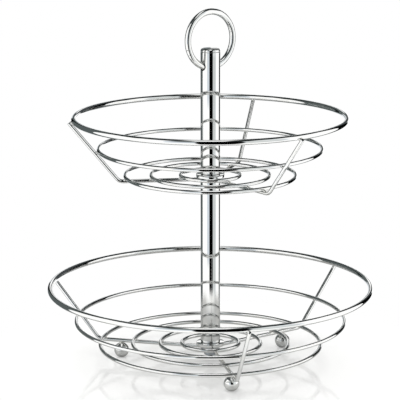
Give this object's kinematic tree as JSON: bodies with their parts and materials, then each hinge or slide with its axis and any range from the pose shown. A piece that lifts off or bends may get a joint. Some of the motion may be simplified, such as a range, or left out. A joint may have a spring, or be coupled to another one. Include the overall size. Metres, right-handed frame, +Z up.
{
  "type": "two-tier wire fruit stand",
  "caption": "Two-tier fruit stand of chrome-plated wire: round open ring baskets on a tube column with ball feet and a swinging ring handle on top.",
  "frame": {"origin": "on the column's axis, in the plane of the table that the ball feet stand on", "axes": "+Z up along the column, -Y towards the viewer of the picture, +X to the viewer's right"},
  "size_m": [0.3, 0.3, 0.3306],
  "materials": {
    "chrome_wire": "bright chrome plate on drawn steel wire",
    "chrome_fittings": "bright chrome plate on turned and pressed steel",
    "chrome_tube": "bright chrome plate on polished steel tube",
    "zinc_steel": "bright zinc plate on steel fasteners"
  },
  "bodies": {
    "stand": {"lower_rim_ring": "chrome_wire", "lower_middle_ring": "chrome_wire", "lower_bottom_ring": "chrome_wire", "lower_floor_ring_inner": "chrome_wire", "lower_floor_ring_middle": "chrome_wire", "lower_floor_ring_outer": "chrome_wire", "lower_leg_front": "chrome_wire", "lower_leg_right": "chrome_wire", "lower_leg_left": "chrome_wire", "lower_hub_disc": "chrome_fittings", "upper_rim_ring": "chrome_wire", "upper_middle_ring": "chrome_wire", "upper_bottom_ring": "chrome_wire", "upper_floor_ring_inner": "chrome_wire", "upper_floor_ring_outer": "chrome_wire", "upper_rib_front": "chrome_wire", "upper_rib_back": "chrome_wire", "upper_rib_left": "chrome_wire", "upper_hub_disc": "chrome_fittings", "ball_foot_front": "chrome_fittings", "ball_foot_right": "chrome_fittings", "ball_foot_left": "chrome_fittings", "lower_tube": "chrome_tube", "upper_tube": "chrome_tube", "tube_top_cap": "chrome_tube", "lower_tube_base_insert": "zinc_steel", "lower_tube_top_insert": "zinc_steel", "upper_tube_base_insert": "zinc_steel", "joining_stud": "zinc_steel", "base_screw": "zinc_steel", "base_washer": "zinc_steel"},
    "handle": {"ring_handle": "chrome_wire"}
  },
  "joints": [
    {"name": "handle_swing", "type": "hinge", "parent": "stand", "child": "handle", "pos_m": [0, 0, 0.27881], "axis": [0.7986, 0.6018, 0], "range_deg": [-165, 165]}
  ]
}
